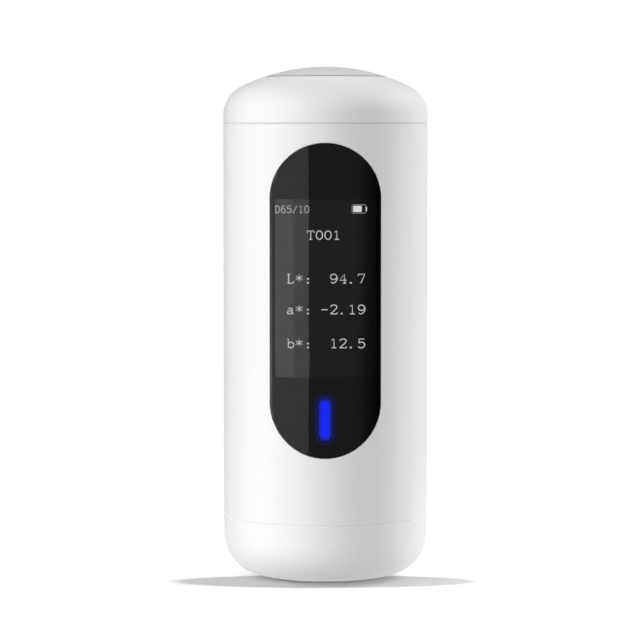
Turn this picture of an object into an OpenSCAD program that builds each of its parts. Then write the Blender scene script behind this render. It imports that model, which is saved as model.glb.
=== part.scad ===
// Pocket colorimeter: a round white instrument that stands nose down in its calibration base.
// The display faces -Y, the crown points up, and the origin is on the bench, under the axis.

/* [Housing] */
// Outside diameter of the housing
body_d = 38; // [37:0.5:42]
// Height from the bench to the crown of the top button
body_h = 95; // [92:1:105]
// Wall of the main shell and of the top cap
wall = 2; // [1.8:0.1:2.2]
// Chamfer on both edges of each seam
seam_chamfer = 0.2; // [0.1:0.05:0.3]
// Small running and assembly gap between parts
fit_gap = 0.1; // [0.05:0.05:0.15]

/* [Top cap] */
// Height of the top cap from its seam to the crown
cap_h = 10.5; // [10:0.1:12]
// Straight rim of the top cap under its shoulder
cap_rim_h = 1.5; // [1:0.1:2]
// Radius of the shoulder of the top cap
shoulder_r = 6; // [5:0.25:7]
// Depth of the skirt that plugs into the main shell
skirt_h = 3; // [2.6:0.1:3.4]
// Wall of the skirt
skirt_t = 1.4; // [1.2:0.1:1.6]
// Radius of the snap bead round the skirt
bead_r = 0.4; // [0.3:0.05:0.5]

/* [Top button] */
// Distance from the side of the housing in to the edge of the domed button
button_inset = 7.8; // [7.6:0.1:9]
// Gap between the button and its hole
button_gap = 0.2; // [0.15:0.05:0.3]
// Thickness of the button's dome and of its guide skirt
button_t = 1.4; // [1.2:0.1:1.8]
// Depth of the button's guide collar below the crown
guide_depth = 6.5; // [6:0.1:7]
// Wall of the guide collar
guide_t = 1.2; // [1:0.1:1.4]
// Height of the lugs that hold the button in
lug_h = 1; // [0.8:0.1:1.2]
// Reach of the lugs under the guide collar
lug_reach = 1; // [0.8:0.1:1.2]
// Travel of the top button
button_travel = 0.8; // [0.4:0.1:0.8]
// Wire diameter of the button's return spring
spring_wire_d = 0.6; // [0.5:0.05:0.7]
// Mean diameter of the return spring
spring_d = 12; // [11.4:0.1:12.6]

/* [Display panel] */
// Angle of the housing that the lens covers
panel_angle = 63.5; // [60:0.5:66]
// Distance from the cap seam down to the top of the lens
panel_drop = 3.6; // [3:0.1:4.5]
// Distance from the base seam up to the bottom of the lens
panel_rise = 12.5; // [12:0.1:14]
// Thickness of the lens
lens_t = 1.1; // [0.9:0.05:1.2]
// Thickness of the adhesive tape behind the lens
tape_t = 0.15; // [0.1:0.05:0.2]
// Width of the ledge that carries the lens
ledge_w = 1; // [0.8:0.1:1.2]
// Distance from the side of the lens to the side of the display module
display_inset = 0.25; // [0.2:0.05:0.5]
// Thickness of the display module
display_t = 1.6; // [1.4:0.1:1.8]
// Distance from the top of the lens down to the top of the display module
display_drop = 8.7; // [8:0.1:9.5]
// Distance from the key up to the bottom of the display module
display_rise = 0.75; // [0.7:0.05:1.5]
// Space between the display's tray and the main board
display_gap = 1.8; // [1.6:0.1:2]

/* [Key] */
// Width of the lit key
key_w = 2.3; // [2:0.1:2.8]
// Length of the lit key
key_l = 7.6; // [7:0.1:8]
// Height of the key's centre above the bottom of the lens
key_rise = 7; // [6.6:0.1:7.4]
// Gap round the key in the lens
key_gap = 0.15; // [0.1:0.05:0.2]
// Travel of the key
key_travel = 0.35; // [0.2:0.05:0.4]

/* [Calibration base] */
// Height of the seam between the base and the main shell
base_h = 11.4; // [11.2:0.1:12.5]
// Radius of the rounded lower edge of the base
base_round = 7.5; // [6.5:0.25:8]
// Wall of the base
cup_wall = 2.2; // [2:0.1:2.4]
// Height by which the rubber foot stands proud
foot_proud = 0.4; // [0.3:0.05:0.5]
// Thickness of the rubber foot
foot_t = 1; // [0.8:0.1:1.1]
// Rim of the tile holder, with the screws, round the white calibration tile
tile_rim = 3.3; // [3.2:0.1:3.6]
// Thickness of the foam pad under the tile
pad_t = 0.5; // [0.4:0.1:0.6]
// Gap between the tile and the nose
tile_gap = 0.2; // [0.1:0.05:0.3]

/* [Nose and optics] */
// Length of the spigot that plugs into the base
nose_depth = 5; // [4.8:0.1:5.2]
// Gap round the spigot in the base
spigot_gap = 0.3; // [0.25:0.05:0.4]
// Radius of the measuring port
port_r = 4; // [3:0.25:4.5]
// Length of the measuring port
port_l = 0.8; // [0.6:0.1:1]
// Radius of the protective window
glass_r = 6.5; // [6:0.1:6.8]
// Thickness of the protective window
glass_t = 1; // [0.8:0.1:1.2]
// Wall of the nose round the optics, with the screws in it
nose_wall = 3.4; // [3.3:0.1:3.6]
// Number of lamps round the optic block
lamp_count = 6; // [4:1:6]
// Radius of one lamp
lamp_r = 1.5; // [1.3:0.1:1.6]
// Length of a lamp's body, without its dome
lamp_l = 3.9; // [3.5:0.1:4.2]
// Height of the spacer between the lamp board and the sensor board
spacer_h = 2; // [1.8:0.1:2.4]

/* [Chassis and electronics] */
// Thickness of the circuit boards
board_t = 1; // [0.8:0.1:1.2]
// Width of the main board
board_w = 24.4; // [23:0.2:25]
// Height of the standoffs under the main board
standoff_h = 1.8; // [1.6:0.1:2]
// Thickness of the chassis web
web_t = 1.4; // [1.2:0.1:1.6]
// Diameter of the rechargeable cell
cell_d = 14; // [13.8:0.1:14.2]
// Distance from the top of the main board down to the top of the cell
cell_drop = 4.5; // [4:0.1:6]
// Width of the charging socket
usb_w = 8.94; // [8.9:0.02:9]
// Height of the charging socket
usb_h = 3.26; // [3.2:0.02:3.3]

/* [Hidden] */
$fn = 64;
e = 0.01;

// Radii and heights of the housing
body_r = body_d / 2;
inner_r = body_r - wall;
cap_z = body_h - cap_h;
shoulder_x = body_r - shoulder_r;
shoulder_z = cap_z + cap_rim_h;
// The crown lies this far inside its tangent circle, so that it crosses the shoulder cleanly
crown_sink = 0.01;
dome_rise = cap_h - cap_rim_h + crown_sink;
crown_r = (shoulder_x ^ 2 + dome_rise ^ 2 - shoulder_r ^ 2) / (2 * (dome_rise - shoulder_r));
crown_z = body_h + crown_sink - crown_r;
crown_angle = atan2(shoulder_x, shoulder_z - crown_z);

// Lip inside the main shell that the chassis and the nose clamp from both sides
lip_w = 1.8;
lip_t = 1.6;
lip_r = inner_r - lip_w;
lip_z = base_h + 1.6;
rib_w = 1.6;
rib_r = inner_r - 0.8;

// Skirt, snap bead and hanging parts of the top cap
skirt_r = inner_r - fit_gap;
bead_z = cap_z - 0.6 * skirt_h;
plate_r = skirt_r - skirt_t - fit_gap;
plate_t = 1.5;
plate_z = cap_z - 0.3 - plate_t;
plate_top = plate_z + plate_t;
boss_r = 1.8;
boss_hole_l = 4;
wire_slot_w = 5;
boss_ring_r = plate_r - boss_r - 0.1;

// Button, its switch and its spring
button_r = body_r - button_inset;
hole_r = button_r + button_gap;
guide_z = body_h - guide_depth;
switch_board_r = button_r - 2.7;
switch_w = 6.2;
switch_h = 3.2;
switch_z = plate_top + board_t;
plunger_r = 1.7;
plunger_out = button_travel + 0.2;
plunger_in = 1;
stem_z = switch_z + switch_h + plunger_out;
stem_r = 1.6;
spring_seat_z = body_h - 2.8;
spring_seat_w = 1.2;
lug_w = 6;
spring_turns = 5;

// Lens, window and display
panel_w = body_d * sin(panel_angle / 2);
panel_top = cap_z - panel_drop;
panel_low = base_h + panel_rise;
panel_l = panel_top - panel_low;
panel_z = (panel_top + panel_low) / 2;
lens_back_r = body_r - lens_t;
recess_r = lens_back_r - tape_t;
window_w = panel_w - 2 * ledge_w;
window_l = panel_l - 2 * ledge_w;
key_z = panel_low + key_rise;
display_w = panel_w - 2 * display_inset;
display_y = -sqrt((inner_r - 0.25) ^ 2 - (display_w / 2) ^ 2);
display_top = panel_top - display_drop;
display_l = display_top - key_z - key_l / 2 - display_rise;
display_z = display_top - display_l / 2;
tray_y = display_y + display_t;
tray_t = 0.8;
tray_lip = 0.8;
leg_w = 2;
leg_inset = 6;

// Key behind the lens
key_flange_w = key_w + 1.6;
key_flange_l = key_l + 1.3;
key_flange_t = 0.8;
key_flange_y = -sqrt(lens_back_r ^ 2 - (key_flange_w / 2) ^ 2) + 0.05;
key_stem_r = 1.1;

// Calibration base
cup_r = body_r - cup_wall;
flat_r = body_r - base_round;
floor_z = foot_proud + cup_wall;
foot_r = flat_r - 0.5;
holder_r = flat_r - 0.2;
holder_floor = 0.4;
tile_r = holder_r - tile_rim;
tile_z = floor_z + holder_floor + pad_t;
tile_screw_ring_r = (tile_r + holder_r) / 2;

// Nose, boards and optics, from the measuring plane upwards
nose_z = base_h - nose_depth;
spigot_r = cup_r - spigot_gap;
nose_edge = 0.8;
nose_head_z = nose_z + 0.2;
glass_z = nose_z + port_l;
well_z = glass_z + glass_t;
collar_r = lip_r - 2 * fit_gap;
well_r = collar_r - nose_wall;
nose_screw_ring_r = collar_r - 1.4;
optic_r = well_r - 2 * fit_gap;
optic_foot_h = 2.8;
neck_r = 4.4;
cone_z = well_z + optic_foot_h;
neck_z = cone_z + optic_r - neck_r;
neck_top = neck_z + 2;
lamp_face = (optic_r + cone_z - nose_z) * sqrt(0.5);
lamp_seat = lamp_face - 0.5;
lamp_flange_w = 0.4;
lamp_flange_t = 0.8;
round_board_r = well_r + 0.7;
view_r = 2;
mouth_h = 4;
lens_well_r = 3.1;
lens_z = neck_top - 4.5;
lens_rim_t = 0.8;
lens_rim_w = 0.6;
lens_rise = 0.6;
sensor_z = neck_top;
collar_z = sensor_z - spacer_h - board_t;
nose_screw_top = collar_z + 4;
lamp_lead_r = 0.25;
lamp_lead_y = 0.9;
lamp_lead_at = (lamp_seat + 0.6) * sqrt(0.5);
spacer_w = 1.1;
sensor_w = 3;
sensor_t = 1;

// Chassis, from the lip to the skirt of the cap
chassis_r = inner_r - 2 * fit_gap;
chassis_z = lip_z + lip_t;
ring_top = panel_low + 0.1;
chassis_top = cap_z - skirt_h - fit_gap;
board_front = tray_y + tray_t + display_gap;
board_back = board_front + board_t;
web_front = board_back + standoff_h;
web_back = web_front + web_t;
board_z = ring_top + 0.6;
board_top = chassis_top - 3.8;
board_screw_x = board_w / 2 - 2;
board_screw_z = [board_z + 2.2, board_top - 2.2];
standoff_r = 1.9;
rail_t = 2.8;
rail_w = 8;
top_ring_w = 2;
top_ring_h = 2.4;

// Screws: shank radius, head radius and head height
m16 = [0.8, 1.4, 0.8];
m2 = [1, 1.8, 1.6];
thread_gap = 0.05;

// Charging socket and its board
usb_l = 7.35;
usb_board_w = 15;
usb_board_l = 12.6;
usb_post_h = 2;
usb_post_w = 2.4;
usb_shell_t = 0.3;
usb_back_t = 1;
tongue_w = 6.7;
tongue_t = 0.7;
tongue_back = 0.9;
usb_board_z = ring_top + usb_post_h;
usb_z = usb_board_z + board_t + usb_h / 2;
usb_mouth_y = inner_r + 0.4;
usb_cut_gap = 0.3;

// Rechargeable cell in its clips
cell_r = cell_d / 2;
cell_seat = 1.2;
cell_y = web_back + cell_seat + cell_r + fit_gap;
cell_z = usb_board_z + board_t + usb_h + 0.8;
cell_top = board_top - cell_drop;
clip_h = 4;
clip_t = 1.4;
clip_inset = 6;

// Housing white, nose black and the other finishes
white = "#f2f2f2";
black = "#1c1c1e";
board_green = "#1f6b3f";
steel = "#b9bcc0";

// Outline of a slot or a pill with round ends
module stadium(w, l) {
    s = min(w, l);
    square([w > l ? w - s : w, l > w ? l - s : l], center = true);
    for (k = [-1, 1])
        translate([k * (w - s) / 2, k * (l - s) / 2])
            circle(d = s);
}

// Bar along Y between y0 and y1, whose outline in X and Z is the child
module bar_y(y0, y1, z)
    translate([0, y1, z])
        rotate([90, 0, 0])
            linear_extrude(y1 - y0)
                children();

// Box centred on X and on height z, between y0 and y1
module block_y(w, l, y0, y1, z)
    translate([-w / 2, y0, z - l / 2])
        cube([w, y1 - y0, l]);

module disc(r, z, h)
    translate([0, 0, z])
        cylinder(r = r, h = h);

module ring(r_out, r_in, z, h)
    difference() {
        disc(r_out, z, h);
        disc(r_in, z - e, h + 2 * e);
    }

module round_the_axis(count, first = 0)
    for (i = [0:count - 1])
        rotate([0, 0, first + i * 360 / count])
            children();

// Screw pointing up from its head at height z, or down if flipped
module screw(size, length, z, down = false)
    translate([0, 0, z])
        mirror([0, 0, down ? 1 : 0]) {
            difference() {
                cylinder(r = size[1], h = size[2]);
                translate([0, 0, -e])
                    cylinder(r = size[0] * 0.7, h = size[2] * 0.5, $fn = 6);
            }
            cylinder(r = size[0], h = size[2] + length);
        }

// Half section of the domed cap, set in by a wall, from height low to the crown
module dome_section(inset, low) {
    reach = 1.2 * crown_r;
    intersection() {
        union() {
            translate([0, low])
                square([body_r - inset, shoulder_z - low]);
            translate([shoulder_x, shoulder_z])
                circle(r = shoulder_r - inset);
            intersection() {
                translate([0, crown_z])
                    circle(r = crown_r - crown_sink - inset, $fn = 4 * $fn);
                polygon([[0, crown_z], [reach * sin(crown_angle), crown_z + reach * cos(crown_angle)],
                    [0, crown_z + reach]]);
            }
        }
        translate([0, low])
            square([body_r, body_h - low + 1]);
    }
}

// Half section of the base with its rounded lower edge, set in by a wall, up to height high
module base_section(inset, high) {
    round_z = foot_proud + base_round;
    translate([0, foot_proud + inset])
        square([flat_r, high - foot_proud - inset]);
    translate([0, round_z])
        square([body_r - inset, high - round_z]);
    intersection() {
        translate([flat_r, round_z])
            circle(r = base_round - inset);
        square([body_r, high]);
    }
}

// Corner cut off the outside edge of a seam; side is 1 where the part is above the seam
module seam_cut(z, side)
    polygon([[body_r - seam_chamfer - e, z - side * e], [body_r + e, z + side * (seam_chamfer + e)],
        [body_r + e, z - side * e]]);

module foot_pad()
    color("#4a4a4c")
        disc(foot_r, 0, foot_t);

module base_cup()
    color(white)
        difference() {
            rotate_extrude()
                difference() {
                    base_section(0, base_h);
                    base_section(cup_wall, base_h + 1);
                    seam_cut(base_h, -1);
                }
            disc(foot_r + fit_gap, 0, foot_t);
            round_the_axis(3, 90)
                translate([tile_screw_ring_r, 0, 0]) {
                    disc(m16[1] + fit_gap, 0, foot_t + m16[2]);
                    disc(m16[0] + fit_gap, 0, floor_z + 1);
                }
        }

module base_screws()
    color(steel)
        round_the_axis(3, 90)
            translate([tile_screw_ring_r, 0, 0])
                screw(m16, 2.8, foot_t);

module tile_holder()
    color(black)
        difference() {
            disc(holder_r, floor_z, nose_z - 0.8 - floor_z);
            disc(tile_r + fit_gap, floor_z + holder_floor, nose_z);
            round_the_axis(3, 90)
                translate([tile_screw_ring_r, 0, 0])
                    disc(m16[0] + thread_gap, floor_z - e, foot_t + m16[2] + 3 - floor_z);
        }

module tile_pad()
    color("#8c8c8c")
        disc(tile_r - 0.4, floor_z + holder_floor, pad_t);

// Glazed tile with a small bevel round its working face
module white_tile() {
    bevel = 0.3;
    color("#fafaf7")
        disc(tile_r, tile_z, nose_z - tile_gap - bevel - tile_z);
    color("#fafaf7")
        translate([0, 0, nose_z - tile_gap - bevel])
            cylinder(r1 = tile_r, r2 = tile_r - bevel, h = bevel);
}

module shell_section()
    difference() {
        union() {
            translate([inner_r, base_h])
                square([wall, cap_z - base_h]);
            translate([lip_r, lip_z])
                square([lip_w + wall / 2, lip_t]);
        }
        seam_cut(base_h, 1);
        seam_cut(cap_z, -1);
        translate([skirt_r - fit_gap, bead_z])
            circle(r = bead_r + fit_gap);
    }

module main_shell()
    color(white)
        difference() {
            union() {
                rotate_extrude()
                    shell_section();
                for (side = [-1, 1])
                    translate([side * (rib_r + inner_r + wall / 2) / 2, 0, (chassis_z + chassis_top) / 2])
                        cube([inner_r + wall / 2 - rib_r, rib_w, chassis_top - chassis_z + 0.4], center = true);
            }
            difference() {
                bar_y(-body_r - 1, 0, panel_z)
                    stadium(panel_w + 2 * fit_gap, panel_l + 2 * fit_gap);
                disc(recess_r, 0, body_h);
            }
            bar_y(-body_r - 1, -inner_r / 2, panel_z)
                stadium(window_w, window_l);
            bar_y(inner_r / 2, body_r + 1, usb_z)
                stadium(usb_w + 2 * usb_cut_gap, usb_h + 2 * usb_cut_gap);
        }

// Pill-shaped piece bent round the housing, between two radii
module bent_pill(r_out, r_in, w, l)
    intersection() {
        ring(r_out, r_in, 0, body_h);
        bar_y(-body_r - 1, 0, panel_z)
            stadium(w, l);
    }

module panel_lens()
    color("#0c0c0d")
        difference() {
            bent_pill(body_r, lens_back_r, panel_w, panel_l);
            bar_y(-body_r - 1, 0, key_z)
                stadium(key_w + 2 * key_gap, key_l + 2 * key_gap);
        }

module lens_tape()
    color("#3a3a3a")
        difference() {
            bent_pill(lens_back_r, recess_r, panel_w, panel_l);
            bar_y(-body_r - 1, 0, panel_z)
                stadium(window_w, window_l);
        }

module cap_section()
    difference() {
        union() {
            difference() {
                dome_section(0, cap_z);
                dome_section(wall, cap_z - 1);
            }
            intersection() {
                dome_section(wall / 2, cap_z - skirt_h);
                union() {
                    translate([skirt_r - skirt_t, cap_z - skirt_h])
                        square([skirt_t, skirt_h + e]);
                    translate([skirt_r - skirt_t, cap_z])
                        square([skirt_t + wall, cap_rim_h]);
                    translate([hole_r, guide_z])
                        square([guide_t, guide_depth]);
                }
            }
            translate([skirt_r - fit_gap, bead_z])
                circle(r = bead_r);
        }
        translate([0, guide_z - 1])
            square([hole_r, guide_depth + 2]);
        seam_cut(cap_z, 1);
    }

module top_cap()
    color(white)
        difference() {
            union() {
                rotate_extrude()
                    cap_section();
                round_the_axis(3, 90)
                    translate([boss_ring_r, 0, 0])
                        disc(boss_r, plate_top, shoulder_z + shoulder_r - 1 - plate_top);
            }
            round_the_axis(3, 90)
                translate([boss_ring_r, 0, 0])
                    disc(m16[0] + thread_gap, plate_top - 1, 1 + boss_hole_l);
        }

module switch_plate()
    color(black)
        difference() {
            disc(plate_r, plate_z, plate_t);
            round_the_axis(3, 90)
                translate([boss_ring_r, 0, 0])
                    disc(m16[0] + fit_gap, plate_z - 1, plate_t + 2);
            block_y(wire_slot_w, 3 * plate_t, switch_board_r + 0.6, switch_board_r + 2.6, plate_z);
        }

module plate_screws()
    color(steel)
        round_the_axis(3, 90)
            translate([boss_ring_r, 0, 0])
                screw(m16, plate_t + 3, plate_z - m16[2]);

module switch_board()
    color(board_green)
        disc(switch_board_r, plate_top, board_t);

// Push switch whose plunger sinks into a round well
module top_switch()
    color("#2b2b2e")
        difference() {
            translate([-switch_w / 2, -switch_w / 2, switch_z])
                cube([switch_w, switch_w, switch_h]);
            disc(plunger_r + fit_gap, switch_z + switch_h - plunger_in - button_travel - 0.2, switch_h);
        }

module top_plunger()
    color("#d8d8d8")
        disc(plunger_r, switch_z + switch_h - plunger_in, plunger_in + plunger_out);

module top_button()
    color("#dedbd7") {
        rotate_extrude()
            intersection() {
                dome_section(0, guide_z - lug_h);
                union() {
                    difference() {
                        square([button_r, body_h + 1]);
                        dome_section(button_t, 0);
                    }
                    translate([button_r - button_t, guide_z - lug_h])
                        square([button_t, guide_depth + lug_h]);
                    translate([(spring_d - spring_seat_w) / 2, spring_seat_z])
                        square([spring_seat_w, body_h - spring_seat_z]);
                    translate([0, stem_z])
                        square([stem_r, body_h - stem_z]);
                }
            }
        intersection() {
            ring(hole_r + lug_reach, button_r - button_t / 2, guide_z - lug_h, lug_h);
            round_the_axis(3, 30)
                translate([0, -lug_w / 2, 0])
                    cube([body_r, lug_w, body_h]);
        }
    }

// Closed end turns lie nearly flat; the turns between them share the rest of the height
function spring_rise(turn, height) =
    let (end = 1.25 * spring_wire_d, pitch = (height - 2 * end) / (spring_turns - 2))
    turn < 1 ? turn * end : turn > spring_turns - 1 ? height - (spring_turns - turn) * end
        : end + (turn - 1) * pitch;

// Solid tube of round section along a list of points, each ring square to its neighbours
module swept_tube(points, r, sides) {
    last = len(points) - 1;
    function along(i) =
        let (d = points[min(i + 1, last)] - points[max(i - 1, 0)])
        d / norm(d);
    function side_of(i, up) =
        let (s = cross(along(i), up))
        s / norm(s);
    up = abs(along(0)[2]) < 0.7 && abs(along(last)[2]) < 0.7 ? [0, 0, 1] : [1, 0, 0];
    rings = [for (i = [0:last], k = [0:sides - 1])
        let (a = side_of(i, up), b = cross(along(i), a), t = 360 * k / sides)
        points[i] + r * (cos(t) * a + sin(t) * b)];
    walls = [for (i = [0:last - 1], k = [0:sides - 1])
        let (n = (k + 1) % sides)
        [i * sides + k, (i + 1) * sides + k, (i + 1) * sides + n, i * sides + n]];
    polyhedron(rings, concat([[for (k = [0:sides - 1]) k]], walls,
        [[for (k = [sides - 1:-1:0]) last * sides + k]]));
}

module button_spring() {
    steps = 20;
    height = spring_seat_z - switch_z - spring_wire_d;
    color(steel)
        swept_tube([for (i = [0:spring_turns * steps])
            [spring_d / 2 * cos(i * 360 / steps), spring_d / 2 * sin(i * 360 / steps),
            switch_z + spring_wire_d / 2 + spring_rise(i / steps, height)]], spring_wire_d / 2, 8);
}

module nose_section()
    difference() {
        union() {
            translate([0, nose_z])
                square([spigot_r, base_h - nose_z]);
            translate([0, base_h])
                square([spigot_r, fit_gap + e]);
            translate([0, base_h + fit_gap])
                square([inner_r - fit_gap, lip_z - base_h - fit_gap]);
            translate([0, lip_z - e])
                square([collar_r, collar_z - lip_z + e]);
        }
        translate([0, nose_z - 1])
            square([port_r, 2 + port_l]);
        translate([0, glass_z])
            square([glass_r + fit_gap, glass_t + 1]);
        translate([0, well_z])
            square([well_r, collar_z]);
        polygon([[spigot_r - nose_edge - e, nose_z - e], [spigot_r + e, nose_z + nose_edge + e],
            [spigot_r + e, nose_z - e]]);
        translate([spigot_r - groove_depth, grip_z - groove_w / 2])
            square([2 * groove_depth, groove_w]);
    }

grip_z = base_h - 2.2;
grip_minor = 0.5;
groove_depth = 0.85;
groove_w = 1.2;

module nose_housing()
    color(black)
        difference() {
            rotate_extrude()
                nose_section();
            round_the_axis(3, 30)
                translate([nose_screw_ring_r, 0, 0]) {
                    disc(m2[0] + fit_gap, nose_z - 1, body_h);
                    disc(m2[1] + fit_gap, nose_z - 1, nose_head_z + m2[2] - nose_z + 1);
                }
        }

module nose_screws()
    color(steel)
        round_the_axis(3, 30)
            translate([nose_screw_ring_r, 0, 0])
                screw(m2, nose_screw_top - nose_head_z - m2[2], nose_head_z);

module grip_ring()
    color("#2a2a2c")
        translate([0, 0, grip_z])
            rotate_extrude()
                translate([spigot_r + 0.2 - grip_minor, 0])
                    circle(r = grip_minor);

module window_glass()
    color("#bcd3da", 0.5)
        disc(glass_r, glass_z, glass_t);

// Places its children on a lamp's axis, at 45 degrees, with z as the distance from the sample
module on_lamp_axis()
    round_the_axis(lamp_count)
        translate([0, 0, nose_z])
            rotate([0, 45, 0])
                children();

// Black cone whose bores aim every lamp at the middle of the port, round a straight viewing bore
module optic_block()
    color(black)
        difference() {
            union() {
                disc(optic_r, well_z, optic_foot_h);
                translate([0, 0, cone_z])
                    cylinder(r1 = optic_r, r2 = neck_r, h = optic_r - neck_r);
                disc(neck_r, cone_z, neck_top - cone_z);
            }
            translate([0, 0, well_z - e])
                cylinder(r1 = glass_r, r2 = view_r, h = mouth_h);
            disc(view_r, well_z, body_h);
            disc(lens_well_r, lens_z, body_h);
            on_lamp_axis() {
                disc(lamp_r + fit_gap, lamp_seat / 4, lamp_face);
                disc(lamp_r + lamp_flange_w + fit_gap, lamp_seat, optic_r);
            }
        }

// Lamp: dome, body, flange and two leads that stand up to the lamp board
module optic_lamps()
    color("#f4efdc") {
        on_lamp_axis() {
            disc(lamp_r, lamp_seat - lamp_l, lamp_l + e);
            translate([0, 0, lamp_seat - lamp_l])
                sphere(r = lamp_r);
            disc(lamp_r + lamp_flange_w, lamp_seat, lamp_flange_t);
        }
        round_the_axis(lamp_count)
            for (side = [-1, 1])
                translate([lamp_lead_at, side * lamp_lead_y, nose_z + lamp_lead_at])
                    cylinder(r = lamp_lead_r, h = collar_z - nose_z - lamp_lead_at);
    }

module lamp_board()
    color(board_green)
        ring(round_board_r, neck_r + neck_z - collar_z + 0.3, collar_z, board_t);

module board_spacer()
    color("#dcdcdc")
        ring(round_board_r, round_board_r - spacer_w, collar_z + board_t, spacer_h);

// Lens with a flat rim: a disc that carries a cap of a ball
module sensor_lens() {
    rise = lens_rise;
    r = lens_well_r - fit_gap - lens_rim_w;
    ball = (r ^ 2 + rise ^ 2) / (2 * rise);
    color("#bcd3da", 0.5) {
        disc(lens_well_r - fit_gap, lens_z, lens_rim_t);
        intersection() {
            disc(r, lens_z, lens_rim_t + rise + 1);
            translate([0, 0, lens_z + lens_rim_t + rise - ball])
                sphere(r = ball);
        }
    }
}

module lens_sleeve()
    color("#48484a")
        ring(lens_well_r - fit_gap, lens_well_r - lens_rim_w, lens_z + lens_rim_t,
            sensor_z - lens_z - lens_rim_t);

module sensor_board()
    color(board_green)
        disc(round_board_r, sensor_z, board_t);

module colour_sensor()
    color("#101012")
        translate([-sensor_w / 2, -sensor_w / 2, sensor_z - sensor_t])
            cube([sensor_w, sensor_w, sensor_t]);

module chassis()
    color("#55565a")
        difference() {
            intersection() {
                disc(chassis_r, chassis_z, chassis_top - chassis_z);
                union() {
                    disc(chassis_r, chassis_z, ring_top - chassis_z);
                    block_y(body_d, chassis_top - ring_top + 2, web_front, web_back, (ring_top + chassis_top) / 2);
                    for (side = [-1, 1])
                        translate([side * (chassis_r - rail_t / 2), web_back + rail_w / 2, (ring_top + chassis_top) / 2])
                            cube([rail_t, rail_w + e, chassis_top - ring_top + 2], center = true);
                    ring(chassis_r, chassis_r - top_ring_w, chassis_top - top_ring_h, top_ring_h);
                    for (x = [-1, 1], z = board_screw_z)
                        translate([x * board_screw_x, 0, 0])
                            bar_y(board_back, web_back, z)
                                circle(r = standoff_r);
                    for (side = [-1, 1])
                        translate([side * (usb_board_w - usb_post_w) / 2, 0, 0])
                            block_y(usb_post_w, 2 * usb_post_h, chassis_r - usb_board_l - 1.6, chassis_r - 2, ring_top);
                    for (z = [cell_z + clip_inset, cell_top - clip_inset])
                        block_y(cell_d + 2 * clip_t, clip_h, web_back - e, cell_y + 0.35 * cell_r, z);
                }
            }
            disc(lip_r, chassis_z - e, collar_z - chassis_z + e);
            disc(round_board_r + fit_gap, chassis_z, sensor_z + board_t - chassis_z);
            disc(well_r - 2, chassis_z, ring_top - chassis_z + e);
            translate([0, cell_y, cell_z - e])
                cylinder(r = cell_r + fit_gap, h = cell_top - cell_z + 2 * e);
            round_the_axis(3, 30)
                translate([nose_screw_ring_r, 0, 0])
                    disc(m2[0] + thread_gap, chassis_z, nose_screw_top + 0.2 - chassis_z);
            for (x = [-1, 1], z = board_screw_z)
                translate([x * board_screw_x, 0, 0])
                    bar_y(board_back - 1, web_back + 1, z)
                        circle(r = m16[0] + thread_gap);
            for (side = [-1, 1])
                translate([side * (rib_r + body_r) / 2, 0, body_h / 2])
                    cube([body_r - rib_r + 4 * fit_gap, rib_w + 4 * fit_gap, body_h], center = true);
            block_y(lead_socket_w + 1, lead_slot_l, web_front - 1, web_back + 1, lead_socket_z + 2.4);
        }

module main_board()
    color(board_green)
        difference() {
            block_y(board_w, board_top - board_z, board_front, board_back, (board_z + board_top) / 2);
            for (x = [-1, 1], z = board_screw_z)
                translate([x * board_screw_x, 0, 0])
                    bar_y(board_front - 1, board_back + 1, z)
                        circle(r = m16[0] + fit_gap);
        }

module board_screws()
    color(steel)
        for (x = [-1, 1], z = board_screw_z)
            translate([x * board_screw_x, board_front, z])
                rotate([-90, 0, 0])
                    screw(m16, board_t + standoff_h + web_t - 0.4, -m16[2]);

// Chips behind the display: width, length, height, x and place down the display as a share of its length
chips = [[7, 7, 0.9, -4, 0.33], [5, 4, 0.8, 5, 0.27], [3, 3, 1.1, 6, 0.49], [4, 2.5, 0.7, -5, 0.6],
    [6, 5, 0.9, 4, 0.73]];

module board_chips()
    color("#18181a")
        for (c = chips)
            translate([c[3], 0, 0])
                block_y(c[0], c[1], board_front - c[2], board_front, display_top - c[4] * display_l);

flex_w = 10;
flex_t = 0.2;
flex_in = tray_y + tray_t + 0.6;
flex_r = (flex_in - tray_y) / 2;
flex_turn_z = display_top + 0.6;
socket_z = flex_turn_z - 3.4;
lead_socket_w = 7;
lead_socket_l = 4;
lead_slot_l = 10;
lead_socket_y = web_front + 2.2;
lead_socket_z = board_top - 2.2;

// Flat-cable socket on the front of the main board and battery socket on its back
module board_sockets()
    color("#e6e2d6") {
        difference() {
            block_y(flex_w + 2, 2, flex_in - 0.4, board_front, socket_z);
            block_y(flex_w + 0.4, 1.2, flex_in - fit_gap, flex_in + flex_t + fit_gap, socket_z + 0.8);
        }
        block_y(lead_socket_w, lead_socket_l, board_back, lead_socket_y, lead_socket_z);
    }

module display_module()
    color("#101318")
        block_y(display_w, display_l, display_y, tray_y, display_z);

module display_bracket()
    color("#2f2f33")
        intersection() {
            disc(chassis_r, 0, body_h);
            union() {
                block_y(display_w + 2 * tray_t, display_l, tray_y, tray_y + tray_t, display_z);
                for (side = [-1, 1])
                    translate([side * (display_w / 2 + fit_gap + tray_t / 2), 0, 0])
                        block_y(tray_t, display_l, tray_y - tray_lip, tray_y + tray_t, display_z);
                for (x = [-1, 1], z = [-1, 1])
                    translate([x * (display_w - leg_w) / 2, 0, 0])
                        block_y(leg_w, leg_w, tray_y, board_front, display_z + z * (display_l / 2 - leg_inset));
            }
        }

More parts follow.
